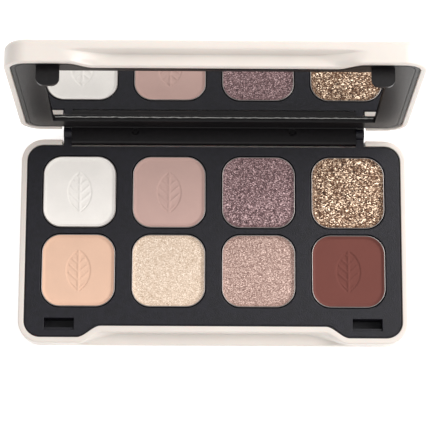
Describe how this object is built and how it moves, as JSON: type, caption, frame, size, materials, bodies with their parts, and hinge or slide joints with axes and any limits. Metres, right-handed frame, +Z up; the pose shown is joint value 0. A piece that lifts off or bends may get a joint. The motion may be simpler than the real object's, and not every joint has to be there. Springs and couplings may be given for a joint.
{
  "type": "eyeshadow palette",
  "caption": "Slim hinged makeup compact with square pans of pressed eyeshadow in a tray, a mirror in the lid and a thumb notch at the front.",
  "frame": {"origin": "middle of the flat underside of the base", "axes": "+X to the right along the hinge, +Y towards the hinge, +Z up"},
  "size_m": [0.1174, 0.0752, 0.0721],
  "materials": {
    "cream_shell": "satin cream moulded plastic",
    "black_tray": "finely grained black moulded plastic",
    "black_frame": "satin black moulded plastic",
    "pan_tin": "thin drawn metal",
    "pin_steel": "ground steel",
    "mirror": "silvered glass",
    "tape": "double-sided tape",
    "glue": "set glue",
    "powder_matte_peach": "matte pressed powder",
    "powder_champagne": "shimmer pressed powder",
    "powder_rose_beige": "shimmer pressed powder",
    "powder_burgundy": "matte pressed powder",
    "powder_matte_white": "matte pressed powder",
    "powder_mauve_pink": "matte pressed powder",
    "powder_taupe": "fine shimmer pressed powder",
    "powder_gold_glitter": "coarse glitter pressed powder"
  },
  "bodies": {
    "base": {"base_shell": "cream_shell", "pan_tray": "black_tray", "pan_adhesive": "glue", "pan_matte_peach": "pan_tin", "pan_champagne": "pan_tin", "pan_rose_beige": "pan_tin", "pan_burgundy": "pan_tin", "pan_matte_white": "pan_tin", "pan_mauve_pink": "pan_tin", "pan_taupe": "pan_tin", "pan_gold_glitter": "pan_tin", "shade_matte_peach": "powder_matte_peach", "shade_champagne": "powder_champagne", "shade_rose_beige": "powder_rose_beige", "shade_burgundy": "powder_burgundy", "shade_matte_white": "powder_matte_white", "shade_mauve_pink": "powder_mauve_pink", "shade_taupe": "powder_taupe", "shade_gold_glitter": "powder_gold_glitter", "hinge_pin_left": "pin_steel", "hinge_pin_right": "pin_steel"},
    "lid": {"lid_shell": "cream_shell", "mirror_frame": "black_frame", "mirror_glass": "mirror", "mirror_tape": "tape"}
  },
  "joints": [
    {"name": "lid_hinge", "type": "hinge", "parent": "base", "child": "lid", "pos_m": [0, 0.0334, 0.0074], "axis": [1, 0, 0], "range_deg": [-81, 92.6]}
  ]
}
